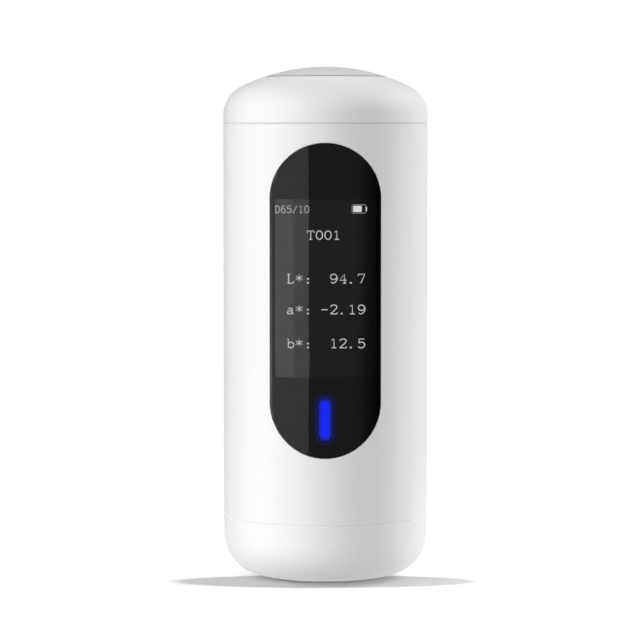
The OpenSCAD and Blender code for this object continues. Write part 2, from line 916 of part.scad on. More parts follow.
// Flat cable that leaves the module's top edge, turns back and runs down into its socket
module display_flex()
    color("#b9772a")
        translate([-flex_w / 2, 0, 0])
            rotate([90, 0, 90])
                linear_extrude(flex_w) {
                    translate([tray_y, display_top])
                        square([flex_t, flex_turn_z - display_top + e]);
                    translate([flex_in, socket_z + 0.4])
                        square([flex_t, flex_turn_z - socket_z - 0.4 + e]);
                    intersection() {
                        translate([tray_y + flex_t / 2 + flex_r, flex_turn_z])
                            difference() {
                                circle(r = flex_r + flex_t / 2);
                                circle(r = flex_r - flex_t / 2);
                            }
                        translate([tray_y - 1, flex_turn_z])
                            square([10, 10]);
                    }
                }

key_guide_w = 7;
key_guide_l = 9;
key_guide_t = 1;
key_plunger_out = 0.5;
key_plunger_l = 1.3;
key_lamp_w = 1.6;
key_lamp_l = 0.8;
key_lamp_t = 0.6;
key_switch_w = 3.6;
key_switch_t = 2.6;
key_switch_y = board_front - key_switch_t;
key_guide_z = key_z - 0.7;

// Black box round the key's stem that keeps its light off the display
module key_guide()
    color(black)
        difference() {
            block_y(key_guide_w, key_guide_l, key_flange_y + key_flange_t + key_travel + 0.3, board_front, key_guide_z);
            block_y(key_guide_w - 2 * key_guide_t, key_guide_l - 2 * key_guide_t, -body_r, board_front + 1, key_guide_z);
        }

module key_switch()
    color("#cfcfcf")
        difference() {
            block_y(key_switch_w, key_switch_w, key_switch_y, board_front, key_z);
            bar_y(key_switch_y - 1, key_switch_y + key_travel + 1, key_z)
                circle(r = key_stem_r + fit_gap);
        }

module key_plunger()
    color("#e8e8e8")
        bar_y(key_switch_y - key_plunger_out, key_switch_y - key_plunger_out + key_plunger_l, key_z)
            circle(r = key_stem_r);

module key_lamps()
    color("#3355ee")
        for (side = [-1, 1])
            translate([side * (key_lamp_w + 1) / 2, 0, 0])
                block_y(key_lamp_w, key_lamp_l, board_front - key_lamp_t, board_front, key_z - 3.2);

// Lit key: a bar through the lens with a flange behind it and a stem down to the switch
module pill_key()
    color("#1428e6") {
        intersection() {
            disc(body_r, 0, body_h);
            bar_y(-body_r - 1, key_flange_y + e, key_z)
                stadium(key_w, key_l);
        }
        bar_y(key_flange_y, key_flange_y + key_flange_t, key_z)
            stadium(key_flange_w, key_flange_l);
        bar_y(key_flange_y, key_switch_y - key_plunger_out, key_z)
            circle(r = key_stem_r);
    }

module usb_board()
    color(board_green)
        translate([0, 0, usb_board_z])
            intersection() {
                cylinder(r = chassis_r - 2 * fit_gap, h = board_t);
                translate([-usb_board_w / 2, chassis_r - usb_board_l - 1.4, 0])
                    cube([usb_board_w, usb_board_l, board_t]);
            }

// Charging socket: a flat oval metal shell, open to the back, round a central tongue
module usb_socket()
    color(steel) {
        difference() {
            bar_y(usb_mouth_y - usb_l, usb_mouth_y, usb_z)
                stadium(usb_w, usb_h);
            bar_y(usb_mouth_y - usb_l + usb_back_t, usb_mouth_y + 1, usb_z)
                stadium(usb_w - 2 * usb_shell_t, usb_h - 2 * usb_shell_t);
        }
        block_y(tongue_w, tongue_t, usb_mouth_y - usb_l + usb_back_t - e, usb_mouth_y - tongue_back, usb_z);
    }

module battery_cell()
    color("#2c62b5")
        translate([0, cell_y, cell_z])
            cylinder(r = cell_r, h = cell_top - cell_z);

guard_t = 1;

module battery_guard()
    color(board_green)
        translate([0, cell_y, cell_top])
            cylinder(r = cell_r - 0.8, h = guard_t);

// Two leads from the guard board over to the battery socket, straight at both ends
lead_r = 0.5;
lead_x = 1.6;
lead_stub = 0.3;

module battery_leads()
    color("#c8202a")
        for (side = [-1, 1])
            let (start = [side * lead_x, cell_y - 3, cell_top + guard_t],
                end = [side * lead_x, lead_socket_y, lead_socket_z],
                a = start + [0, 0, lead_stub], d = end + [0, lead_stub, 0],
                b = a + [0, 0, d[2] - a[2]], c = d + [0, (a[1] - d[1]) / 2, 0])
            swept_tube(concat([start], [for (t = [0:0.1:1])
                a * (1 - t) ^ 3 + 3 * t * (1 - t) ^ 2 * b + 3 * t ^ 2 * (1 - t) * c + d * t ^ 3], [end]),
                lead_r, 8);

foot_pad();
base_cup();
base_screws();
tile_holder();
tile_pad();
white_tile();
main_shell();
panel_lens();
lens_tape();
top_cap();
switch_plate();
plate_screws();
switch_board();
top_switch();
nose_housing();
nose_screws();
grip_ring();
window_glass();
optic_block();
optic_lamps();
lamp_board();
board_spacer();
sensor_lens();
lens_sleeve();
sensor_board();
colour_sensor();
chassis();
main_board();
board_chips();
board_sockets();
board_screws();
display_module();
display_bracket();
display_flex();
key_guide();
key_switch();
key_lamps();
usb_board();
usb_socket();
battery_cell();
battery_guard();
battery_leads();
top_button();
top_plunger();
button_spring();
pill_key();
key_plunger();
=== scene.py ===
import math

import bmesh
import bpy
from mathutils import Matrix, Vector


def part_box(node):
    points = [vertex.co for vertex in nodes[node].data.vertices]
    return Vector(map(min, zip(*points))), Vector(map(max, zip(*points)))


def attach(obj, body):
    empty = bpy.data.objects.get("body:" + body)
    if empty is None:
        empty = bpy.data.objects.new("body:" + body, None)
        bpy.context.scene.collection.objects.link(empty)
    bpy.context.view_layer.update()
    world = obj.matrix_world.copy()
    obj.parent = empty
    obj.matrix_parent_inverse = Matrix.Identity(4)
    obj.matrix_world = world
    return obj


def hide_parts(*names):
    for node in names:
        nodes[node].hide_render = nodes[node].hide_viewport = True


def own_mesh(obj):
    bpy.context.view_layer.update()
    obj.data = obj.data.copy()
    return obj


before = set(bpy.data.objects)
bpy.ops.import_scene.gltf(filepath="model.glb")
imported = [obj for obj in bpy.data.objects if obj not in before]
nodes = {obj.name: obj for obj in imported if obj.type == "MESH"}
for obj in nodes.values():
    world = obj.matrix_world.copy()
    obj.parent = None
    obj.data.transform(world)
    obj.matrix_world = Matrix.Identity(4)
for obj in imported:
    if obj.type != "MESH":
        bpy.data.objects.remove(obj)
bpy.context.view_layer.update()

# ---- Camera ----
# It stands level with the seam under the domed top, a little over half a metre from the axis, and looks
# slightly down, so that the whole instrument stands in the middle of the frame.
tilt_down, turn_left = 3.72, 0.103
camera = bpy.data.objects.new("camera", bpy.data.cameras.new("camera"))
bpy.context.scene.collection.objects.link(camera)
camera.location = (0, -0.565, 0.08455)
camera.rotation_euler = (math.radians(90 - tilt_down), 0, math.radians(turn_left))
camera.data.lens = 170.35
camera.data.clip_start = 0.02
bpy.context.scene.camera = camera
bpy.context.scene.view_settings.view_transform = "Standard"


# ---- Studio lamps ----
# Tall soft boxes stand in a ring: bright ones to the left of the camera and to the right behind the
# instrument, dimmer ones in front and behind. One on each side also shows in gloss, as a pale edge. A box
# overhead lights the crown and the floor.
AWAY = 0.8


def soft_box(name, turn, spread, glow, tall=1.6):
    """Upright panel at a turn from the camera's side, with a spread in degrees as seen from the axis."""
    wide = 2 * AWAY * math.tan(math.radians(spread) / 2)
    panel = bpy.data.lights.new(name, "AREA")
    panel.shape = "RECTANGLE"
    panel.size, panel.size_y = wide, tall
    panel.energy = glow * math.pi * wide * tall
    stand = bpy.data.objects.new(name, panel)
    side = Vector((math.sin(math.radians(turn)), -math.cos(math.radians(turn)), 0))
    stand.location = side * AWAY + Vector((0, 0, 0.3))
    stand.rotation_euler = side.to_track_quat("Z", "Y").to_euler()
    stand.visible_camera = stand.visible_glossy = False
    bpy.context.scene.collection.objects.link(stand)
    return stand


for number, (turn, spread, glow) in enumerate((
        (-75, 16, 1.9), (-60, 14, 2.5), (-45, 16, 2.5), (-28, 18, 0.8), (-10, 18, 0.65), (8, 18, 0.75),
        (26, 18, 0.45), (80, 26, 0.4), (100, 18, 3.7), (118, 18, 3.4), (150, 40, 0.8), (190, 40, 0.8),
        (230, 40, 0.4))):
    soft_box("soft_box_%d" % number, turn, spread, glow).visible_glossy = turn in (-75, 100)
top_box = soft_box("top_box", 0, 60, 0.56, tall=0.9)
top_box.location = (0, 0, 0.9)
top_box.rotation_euler = (0, 0, 0)


# ---- White world ----
# The background is white to the camera and in gloss and glass, like the cove of a studio. Matt surfaces get
# no light from it, so the lamps alone set their shading.
world = bpy.data.worlds.new("white_ground")
bpy.context.scene.world = world
world.use_nodes = True
sky = world.node_tree
ray = sky.nodes.new("ShaderNodeLightPath")
either = sky.nodes.new("ShaderNodeMath")
both = sky.nodes.new("ShaderNodeMath")
either.operation = both.operation = "MAXIMUM"
sky.links.new(ray.outputs["Is Camera Ray"], either.inputs[0])
sky.links.new(ray.outputs["Is Glossy Ray"], either.inputs[1])
sky.links.new(either.outputs[0], both.inputs[0])
sky.links.new(ray.outputs["Is Transmission Ray"], both.inputs[1])
sky.links.new(both.outputs[0], sky.nodes["Background"].inputs["Strength"])
sky.nodes["Background"].inputs["Color"].default_value = (1, 1, 1, 1)


# ---- Floor and dark card ----
# The floor is a white disc that keeps the instrument's shadow, has a soft ellipse of painted shadow round
# the foot, and fades out at its edge. The dark card runs from behind the camera round the right and the
# back.
# It gives the curved lens its dark side with the sharp edge, and the housing its grey outline.
class Value:
    """A socket of a shader that ordinary sums work on."""

    def __init__(self, finish, socket):
        self.finish, self.socket = finish, socket

    def math(self, operation, *values):
        return self.finish.node("Math", {"operation": operation}, *values)

    def __add__(self, other):
        return self.math("ADD", self, other)

    def __sub__(self, other):
        return self.math("SUBTRACT", self, other)

    def __rsub__(self, other):
        return self.math("SUBTRACT", other, self)

    def __mul__(self, other):
        return self.math("MULTIPLY", self, other)

    def __pow__(self, other):
        return self.math("POWER", self, other)

    def __abs__(self):
        return self.math("ABSOLUTE", self)

    def sine(self):
        return self.math("SINE", self)

    def most(self, other):
        return self.math("MAXIMUM", self, other)

    __radd__, __rmul__ = __add__, __mul__


class Finish:
    """A surface made of shader nodes."""

    def __init__(self, name, colour, roughness, **sockets):
        self.material = bpy.data.materials.new(name)
        self.material.use_nodes = True
        self.tree = self.material.node_tree
        self.shader = self.tree.nodes["Principled BSDF"]
        self.set("Base Color", (*colour, 1))
        self.set("Roughness", roughness)
        for socket, value in sockets.items():
            self.set(socket.replace("_", " "), value)

    def put(self, socket, value):
        if isinstance(value, Value):
            self.tree.links.new(value.socket, socket)
        else:
            socket.default_value = value

    def set(self, socket, value):
        self.put(self.shader.inputs[socket], value)

    def node(self, kind, settings=None, *values, out=0, **named):
        made = self.tree.nodes.new("ShaderNode" + kind)
        for name, value in (settings or {}).items():
            setattr(made, name, value)
        for key, value in [*enumerate(values), *named.items()]:
            self.put(made.inputs[key if isinstance(key, int) else key.replace("_", " ")], value)
        return Value(self, made.outputs[out])

    def place(self):
        return self.node("TexCoord", out="Object")

    def axes(self):
        split = self.node("SeparateXYZ", None, self.place())
        return [Value(self, socket) for socket in split.socket.node.outputs]

    def from_axis(self):
        """Distance from the upright axis."""
        x, y, z = self.axes()
        return (x * x + y * y) ** 0.5

    def grain(self, size, detail):
        """Noise whose blotches are about size metres across."""
        return self.node("TexNoise", None, Vector=self.place(), Scale=0.5 / size, Detail=detail,
                         Roughness=0.5)

    def between(self, share, low, high):
        """A value or a colour that goes from low to high as share goes from 0 to 1."""
        if isinstance(high, tuple):
            mixed = self.node("Mix", {"data_type": "RGBA"}, share, out=2)
            for place, end in ((6, low), (7, high)):
                self.put(mixed.socket.node.inputs[place], (*end, 1) if isinstance(end, tuple) else end)
            return mixed
        return share * (high - low) + low

    def step(self, value, start, end):
        """0 below start, 1 above end, and smooth in between."""
        return self.node("MapRange", {"interpolation_type": "SMOOTHSTEP"}, value, start, end, 0, 1)

    def bump(self, height, depth):
        """Relief of a depth in metres, where height runs from 0 to 1."""
        self.set("Normal", self.node("Bump", None, Strength=1, Distance=depth, Height=height))

    def mottle(self, size, detail, low, high, depth, roughness=None):
        """One grain that mixes two colours, raises the surface and varies its roughness."""
        grain = self.grain(size, detail)
        self.set("Base Color", self.between(grain, low, high))
        if roughness:
            self.set("Roughness", self.between(grain, *roughness))
        self.bump(grain, depth)


def shown(mesh, name, *finishes):
    """Object with its mesh, smooth faces, sharp edges kept, and its finishes."""
    data = bpy.data.meshes.new(name)
    for face in mesh.faces:
        face.smooth = True
    for edge in mesh.edges:
        edge.smooth = len(edge.link_faces) == 2 and edge.calc_face_angle(0) < math.radians(33)
    mesh.to_mesh(data)
    mesh.free()
    piece = bpy.data.objects.new(name, data)
    bpy.context.scene.collection.objects.link(piece)
    for finish in finishes:
        data.materials.append(finish.material)
    return piece


disc = bmesh.new()
bmesh.ops.create_circle(disc, cap_ends=True, radius=0.2, segments=96)
floor_white = Finish("floor_white", (0.82, 0.82, 0.82), 0.9, Specular_IOR_Level=0)
ray = floor_white.node("LightPath").socket.node.outputs
direct = Value(floor_white, ray["Is Camera Ray"])
bounced = Value(floor_white, ray["Is Diffuse Ray"])
out_of_sight = floor_white.node("BsdfTransparent")
unlit = floor_white.node("Emission", None, Strength=0)
glow = floor_white.node("Emission", None, Strength=0.46)
x, y, z = floor_white.axes()
# Painted shadow: inside a flat ellipse a little ahead of the foot, the floor's glow to the camera fades to
# none.
ahead = y + 0.0095
painted_shadow_shape = (x * x + ahead * ahead * 12) ** 0.5
glow = floor_white.node("MixShader", None, floor_white.step(painted_shadow_shape, 0.025, 0.031), unlit, glow)
lit = floor_white.node("MixShader", None, direct, out_of_sight, glow)
whole = floor_white.node("AddShader", None, Value(floor_white, floor_white.shader.outputs[0]), lit)
fade = floor_white.step(floor_white.from_axis(), 0.05, 0.18).most(bounced * 0.78)
faded = floor_white.node("MixShader", None, fade, whole, out_of_sight)
floor_white.tree.links.new(faded.socket, floor_white.tree.nodes["Material Output"].inputs["Surface"])
shown(disc, "floor", floor_white)

card = bmesh.new()
post = [card.verts.new((0, -AWAY, height)) for height in (-0.35, 0.5)]
bmesh.ops.rotate(card, verts=post, cent=(0, 0, 0), matrix=Matrix.Rotation(math.radians(-18.6), 3, "Z"))
bmesh.ops.spin(card, geom=[*post, card.edges.new(post)], cent=(0, 0, 0), axis=(0, 0, 1),
               angle=math.radians(270), steps=135)
card_dark = Finish("card_dark", (0, 0, 0), 1, Specular_IOR_Level=0, Emission_Strength=1)
x, y, z = card_dark.axes()
darker = card_dark.step(x, 0.42, 0.72).most(card_dark.step(y, 0, 0.1))
card_dark.set("Emission Color", card_dark.between(darker, (0.27, 0.27, 0.27), (0.03, 0.03, 0.03)))
dark_card = shown(card, "dark_card", card_dark)
dark_card.visible_camera = dark_card.visible_diffuse = dark_card.visible_shadow = False


# ---- Foot ----
# Rubber disc glued into the underside of the base, so that it doesn't slide on the bench. It is moulded,
# with two round grooves.
MM = 0.001
STEPS = 144
GROOVE = 0.15


def measured(node):
    """Outer radius, foot and top of one of the frame's solids, in millimetres."""
    low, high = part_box(node)
    return [round(size / MM, 2) for size in (high.x, low.z, high.z)]


def drawn(*moves):
    """Half section in millimetres: (r, z) draws a line to it, (r, z, degrees) swings round a centre."""
    mesh = bmesh.new()
    pen = None
    for r, z, *swing in moves:
        if swing:
            arc = bmesh.ops.spin(mesh, geom=[pen], cent=(r * MM, 0, z * MM), axis=(0, -1, 0),
                                 angle=math.radians(swing[0]), steps=max(4, round(abs(swing[0]) / 3)))
            pen = [part for part in arc["geom_last"] if isinstance(part, bmesh.types.BMVert)][0]
        else:
            point = mesh.verts.new((r * MM, 0, z * MM))
            if pen:
                mesh.edges.new((pen, point))
            pen = point
    mesh.verts.ensure_lookup_table()
    start = mesh.verts[0]
    if max(abs(start.co.x), abs(pen.co.x)) > 1e-6 and (start.co - pen.co).length > 1e-6:
        mesh.edges.new((pen, start))
    return mesh


def spun(mesh):
    """Turns a half section right round the upright axis."""
    bmesh.ops.spin(mesh, geom=mesh.verts[:] + mesh.edges[:], cent=(0, 0, 0), axis=(0, 0, 1), angle=math.tau,
                   steps=STEPS, use_merge=True)
    return closed(mesh)


def closed(mesh):
    """Joins doubled points and turns the faces outwards."""
    bmesh.ops.remove_doubles(mesh, verts=mesh.verts, dist=2e-7)
    bmesh.ops.dissolve_degenerate(mesh, edges=mesh.edges, dist=1e-8)
    bmesh.ops.recalc_face_normals(mesh, faces=mesh.faces)
    return mesh


def eased(mesh, by, sharp=50):
    """Rounds off the edges sharper than an angle in degrees, by a width in millimetres."""
    edges = [edge for edge in mesh.edges
             if len(edge.link_faces) == 2 and edge.calc_face_angle(0) > math.radians(sharp)]
    bmesh.ops.bevel(mesh, geom=edges, offset=by * MM, offset_type="OFFSET", affect="EDGES", segments=2,
                    profile=0.5, material=-1, clamp_overlap=True)
    return mesh


def turned(*moves, ease):
    """Piece turned from its half section, with its sharp edges eased."""
    return eased(spun(drawn(*moves)), ease)


def fitted(piece, body, slot, *stands_for):
    """A piece that rides on a body and stands for the solids of the frame."""
    weighted = piece.modifiers.new("even_shading", "WEIGHTED_NORMAL")
    weighted.keep_sharp = True
    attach(piece, body)
    if stands_for:
        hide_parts(*stands_for)
    return piece


FOOT_RADIUS, BENCH, FOOT_TOP = measured("foot_pad")
foot_rubber = Finish("foot_rubber", (0.16, 0.16, 0.165), 0.8)
speckle = foot_rubber.grain(0.0004, 3)
# Painted light: the dark rubber goes pale grey at its outer edge, so that the gap under the base reads
# lighter.
rim = foot_rubber.step(foot_rubber.from_axis(), (FOOT_RADIUS - 0.4) * MM, (FOOT_RADIUS - 0.1) * MM)
dark = foot_rubber.between(speckle, (0.12, 0.12, 0.125), (0.2, 0.2, 0.205))
foot_rubber.set("Base Color", foot_rubber.between(rim, dark, (0.42, 0.42, 0.42)))
foot_rubber.set("Roughness", foot_rubber.between(speckle, 0.7, 0.92))
foot_rubber.bump(speckle, 0.00004)
grooves = [(middle + side * GROOVE, BENCH if side else GROOVE)
           for middle in (4.25, 8.25) for side in (-1, 0, 1)]
foot = turned((0, BENCH), *grooves, (FOOT_RADIUS, BENCH), (FOOT_RADIUS, FOOT_TOP), (0, FOOT_TOP), ease=0.12)
fitted(shown(foot, "foot", foot_rubber), "base", "foot_rubber", "foot_pad")


# ---- Base cup ----
# White moulded cup with a large round at its lower edge. The instrument stands nose down in it, and its
# rim carries the housing at the lower seam. The white mouldings are glossy with a faint flow, and have
# painted shade in the narrow gaps at the upper seam and round the button.
RADIUS, CUP_LOW, LOWER_SEAM = measured("base_cup")
SEAT_RADIUS, SEAT_LOW, SEAT_TOP = measured("tile_holder")
UPPER_SEAM = measured("main_shell")[2]
SEAM_BEVEL = 0.2
CUP_ROUND = 7.5
CAP_HOLE = 11.4
housing_white = Finish("housing_white", (0.93, 0.93, 0.925), 0.42, Specular_IOR_Level=0.5)
flow = housing_white.grain(0.009, 3)
peel = housing_white.grain(0.0009, 2)
x, y, z = housing_white.axes()
# Painted shade: the base colour goes dark grey in a thin band at the upper seam and on the cap round the
# button's hole.
seam = 1 - housing_white.step(abs(z - UPPER_SEAM * MM), 0.06 * MM, 0.24 * MM)
hole_shade = 1 - housing_white.step(housing_white.from_axis(), (CAP_HOLE + 0.05) * MM, (CAP_HOLE + 0.2) * MM)
painted_gap_shade = seam.most(hole_shade * housing_white.step(z, 88 * MM, 88.1 * MM))
pale = housing_white.between(flow, (0.915, 0.916, 0.915), (0.94, 0.939, 0.934))
housing_white.set("Base Color", housing_white.between(painted_gap_shade * 0.25, pale, (0.3, 0.3, 0.3)))
housing_white.set("Roughness", housing_white.between(flow, 0.36, 0.48))
housing_white.bump(peel + flow, 0.0000035)
across, up = RADIUS - CUP_ROUND, CUP_LOW + CUP_ROUND
inside = across + up - SEAT_LOW
cup = turned((0, FOOT_TOP), (FOOT_RADIUS + 0.1, FOOT_TOP), (FOOT_RADIUS + 0.1, CUP_LOW), (across, CUP_LOW),
             (across, up, 90), (RADIUS, LOWER_SEAM - SEAM_BEVEL), (RADIUS - SEAM_BEVEL, LOWER_SEAM),
             (inside, LOWER_SEAM), (inside, up), (across, up, -90), (0, SEAT_LOW), ease=0.06)
fitted(shown(cup, "cup", housing_white), "base", "housing_white", "base_cup")


# ---- Tile seat and calibration tile ----
# Black moulded seat, held by three screws from below, with foam under a round glazed tile. The tile is the
# white that the instrument measures to set itself.
TILE_RADIUS, TILE_LOW, TILE_TOP = measured("white_tile")
TILE_CHAMFER = 0.3
PAD_LOW = measured("tile_pad")[1]
nose_black = Finish("nose_black", (0.045, 0.045, 0.05), 0.5)
nose_black.mottle(0.00022, 2, (0.035, 0.035, 0.039), (0.056, 0.056, 0.06), 0.000022, (0.42, 0.62))
seat = turned((0, SEAT_LOW), (SEAT_RADIUS, SEAT_LOW), (SEAT_RADIUS, SEAT_TOP),
              (TILE_RADIUS + 0.1, SEAT_TOP), (TILE_RADIUS + 0.1, PAD_LOW), (0, PAD_LOW), ease=0.15)
fitted(shown(seat, "tile_seat", nose_black), "base", "nose_black", "tile_holder")

glaze = Finish("tile_glaze", (0.96, 0.96, 0.945), 0.12, Coat_Weight=0.6, Coat_Roughness=0.04)
glaze.mottle(0.004, 2, (0.95, 0.95, 0.93), (0.97, 0.97, 0.958), 0.000006, (0.08, 0.18))
tile = turned((0, TILE_LOW), (TILE_RADIUS, TILE_LOW), (TILE_RADIUS, TILE_TOP - TILE_CHAMFER),
              (TILE_RADIUS - TILE_CHAMFER, TILE_TOP), (0, TILE_TOP), ease=0.1)
fitted(shown(tile, "tile", glaze), "base", "tile_ceramic", "white_tile")

pad_foam = Finish("pad_foam", (0.35, 0.35, 0.36), 0.95)
cells = pad_foam.node("TexVoronoi", None, Vector=pad_foam.place(), Scale=4000)
pad_foam.set("Base Color", pad_foam.between(cells, (0.2, 0.2, 0.21), (0.42, 0.42, 0.43)))
pad_foam.bump(cells, 0.00008)


def kept(finish, *names):
    """Solids of the frame whose shape is right get their finish."""
    for name in names:
        nodes[name].data.materials.clear()
        nodes[name].data.materials.append(finish.material)


kept(pad_foam, "tile_pad")


# ---- Nose ----
# Black spigot that plugs into the base, with the measuring port in its middle, three screws in sunk heads
# and a groove for the grip ring. It is moulded in one and clamps the optics against the shell's lip.
NOSE_RADIUS, NOSE_LOW, NOSE_TOP = measured("nose_housing")
GLASS_RADIUS, GLASS_LOW, GLASS_TOP = measured("window_glass")
RING_RADIUS, RING_LOW, RING_TOP = measured("grip_ring")
SPIGOT, SPIGOT_CHAMFER, RING_GROOVE = 16.5, 0.8, 15.65
SHOULDER_LOW, SHOULDER_TOP = 11.5, 13
NECK, NECK_BORE, PORT = 15, 11.6, 4
THIRDS = (30, 150, 270)
WELL_RADIUS, WELL_DEPTH, WELLS_OUT = 1.9, 1.8, 13.6


def filled(mesh, edges, facing=(0, 1, 0)):
    """Fills a flat outline, and leaves the outlines inside it open."""
    bmesh.ops.triangle_fill(mesh, use_beauty=True, use_dissolve=False, edges=edges, normal=facing)


def ring_at(mesh, radius, height):
    """Edges of a turned mesh that lie on one circle."""
    return [edge for edge in mesh.edges
            if all(abs(vert.co.z - height * MM) < 1e-7 and abs(vert.co.xy.length - radius * MM) < 2e-7
                   for vert in edge.verts)]


nose = drawn((SPIGOT - SPIGOT_CHAMFER, NOSE_LOW), (SPIGOT, NOSE_LOW + SPIGOT_CHAMFER),
             (SPIGOT, RING_LOW - 0.1), (RING_GROOVE, RING_LOW - 0.1), (RING_GROOVE, RING_TOP + 0.1),
             (SPIGOT, RING_TOP + 0.1), (SPIGOT, SHOULDER_LOW), (NOSE_RADIUS, SHOULDER_LOW),
             (NOSE_RADIUS, SHOULDER_TOP), (NECK, SHOULDER_TOP), (NECK, NOSE_TOP), (NECK_BORE, NOSE_TOP),
             (NECK_BORE, GLASS_TOP), (GLASS_RADIUS + 0.1, GLASS_TOP), (GLASS_RADIUS + 0.1, GLASS_LOW),
             (PORT, GLASS_LOW), (PORT, NOSE_LOW))
underside = [edge for edge in nose.edges
             if all(abs(vert.co.z - NOSE_LOW * MM) < 1e-9 for vert in edge.verts)]
bmesh.ops.delete(nose, geom=underside, context="EDGES")
spun(nose)
wells = []
for turn in THIRDS:
    place = (Matrix.Rotation(math.radians(turn), 4, "Z")
             @ Matrix.Translation((WELLS_OUT * MM, 0, NOSE_LOW * MM)))
    well = bmesh.ops.create_circle(nose, radius=WELL_RADIUS * MM, segments=32, matrix=place)["verts"]
    wells += [edge for edge in nose.edges if edge.verts[0] in well and edge.verts[1] in well]
rims = ring_at(nose, SPIGOT - SPIGOT_CHAMFER, NOSE_LOW) + ring_at(nose, PORT, NOSE_LOW)
filled(nose, rims + wells, (0, 0, 1))
walls = bmesh.ops.extrude_edge_only(nose, edges=wells)["geom"]
sunk = [part for part in walls if isinstance(part, bmesh.types.BMVert)]
bmesh.ops.translate(nose, verts=sunk, vec=(0, 0, WELL_DEPTH * MM))
floors = [edge for edge in nose.edges if edge.verts[0] in sunk and edge.verts[1] in sunk]
bmesh.ops.edgeloop_fill(nose, edges=floors)
eased(closed(nose), 0.12)
fitted(shown(nose, "nose", nose_black), "instrument", "nose_black", "nose_housing")

ring_rubber = Finish("ring_rubber", (0.06, 0.06, 0.065), 0.45)
ring_rubber.mottle(0.0006, 3, (0.05, 0.05, 0.054), (0.075, 0.075, 0.08), 0.00001, (0.35, 0.6))
half = (RING_TOP - RING_LOW) / 2
place = Matrix.Translation(((RING_RADIUS - half) * MM, 0, (RING_LOW + half) * MM))
grip = bmesh.new()
bmesh.ops.create_circle(grip, radius=half * MM, segments=24,
                        matrix=place @ Matrix.Rotation(math.pi / 2, 4, "X"))
fitted(shown(spun(grip), "grip", ring_rubber), "instrument", "ring_rubber", "grip_ring")

steel = Finish("plated_steel", (0.62, 0.63, 0.64), 0.3, Metallic=1.0)
steel.mottle(0.0005, 4, (0.55, 0.56, 0.58), (0.68, 0.69, 0.7), 0.000008, (0.22, 0.42))
kept(steel, "base_screws", "nose_screws", "plate_screws", "board_screws")


# ---- Optics ----
# A clear window closes the port. Behind it a dead matt block aims six lamps at the sample, and a lens over
# it throws the light that comes straight back onto the colour sensor.
window_clear = Finish("window_clear", (0.9, 0.96, 0.97), 0.03, Transmission_Weight=1.0, IOR=1.5)
window_clear.set("Roughness", window_clear.between(window_clear.grain(0.002, 3), 0.01, 0.06))
kept(window_clear, "window_glass", "sensor_lens")

optic_black = Finish("optic_black", (0.02, 0.02, 0.022), 0.85)
optic_black.mottle(0.00025, 3, (0.014, 0.014, 0.016), (0.03, 0.03, 0.032), 0.00003, (0.75, 0.95))
kept(optic_black, "optic_block", "lens_sleeve", "key_guide")

lamp_resin = Finish("lamp_resin", (0.92, 0.88, 0.68), 0.15)
lamp_resin.mottle(0.001, 2, (0.93, 0.9, 0.76), (0.88, 0.78, 0.45), 0.000005)
kept(lamp_resin, "optic_lamps")


# ---- Boards and what they carry ----
# Glass-fibre boards, whose weave shows through their green solder mask. Chips, sockets and the frame that
# carries them are moulded. The cell is a metal can in a shrunk film, with two insulated leads.
board_green = Finish("board_green", (0.05, 0.22, 0.1), 0.35, Coat_Weight=0.3, Coat_Roughness=0.2)
weave = board_green.node("TexBrick", {"offset": 0.5}, Vector=board_green.place(), Scale=420,
                         Mortar_Size=0.03, out="Fac")
board_green.set("Base Color", board_green.between(weave, (0.03, 0.17, 0.07), (0.07, 0.3, 0.13)))
board_green.set("Roughness", board_green.between(weave, 0.3, 0.45))
board_green.bump(weave, 0.00002)
kept(board_green, "lamp_board", "sensor_board", "main_board", "usb_board", "switch_board", "battery_guard")

chip_black = Finish("chip_black", (0.03, 0.03, 0.035), 0.55)
chip_black.mottle(0.00012, 3, (0.022, 0.022, 0.026), (0.045, 0.045, 0.05), 0.00001, (0.45, 0.7))
kept(chip_black, "board_chips", "colour_sensor", "top_switch")

socket_cream = Finish("socket_cream", (0.82, 0.79, 0.7), 0.45)
socket_cream.mottle(0.0008, 2, (0.78, 0.75, 0.66), (0.85, 0.82, 0.74), 0.000008, (0.38, 0.52))
kept(socket_cream, "board_sockets", "board_spacer")

chassis_grey = Finish("chassis_grey", (0.2, 0.2, 0.21), 0.55)
chassis_grey.mottle(0.0006, 3, (0.17, 0.17, 0.18), (0.23, 0.23, 0.24), 0.00002, (0.48, 0.66))
kept(chassis_grey, "chassis", "switch_plate", "display_bracket")

flex_amber = Finish("flex_amber", (0.48, 0.25, 0.07), 0.25, Coat_Weight=0.4)
x, y, z = flex_amber.axes()
tracks = flex_amber.step((x * 6000).sine(), 0.2, 0.6)
flex_amber.set("Base Color", flex_amber.between(tracks, (0.5, 0.27, 0.08), (0.36, 0.15, 0.03)))
flex_amber.bump(tracks, 0.00001)
kept(flex_amber, "display_flex")

switch_grey = Finish("switch_grey", (0.55, 0.55, 0.56), 0.5)
switch_grey.mottle(0.0005, 2, (0.5, 0.5, 0.51), (0.6, 0.6, 0.61), 0.00001)
kept(switch_grey, "key_switch", "top_plunger", "key_plunger")

cell_blue = Finish("cell_blue", (0.1, 0.25, 0.55), 0.3, Coat_Weight=0.5, Coat_Roughness=0.1)
cell_blue.mottle(0.003, 4, (0.07, 0.2, 0.48), (0.13, 0.3, 0.62), 0.00003, (0.22, 0.42))
kept(cell_blue, "battery_cell")

lead_red = Finish("lead_red", (0.6, 0.04, 0.04), 0.45)
lead_red.mottle(0.0005, 2, (0.52, 0.03, 0.03), (0.66, 0.05, 0.05), 0.00001)
kept(lead_red, "battery_leads")

lamp_blue = Finish("lamp_blue", (0.2, 0.3, 0.95), 0.2)
lamp_blue.mottle(0.0006, 2, (0.15, 0.24, 0.9), (0.3, 0.4, 1), 0.000005)
kept(lamp_blue, "key_lamps")


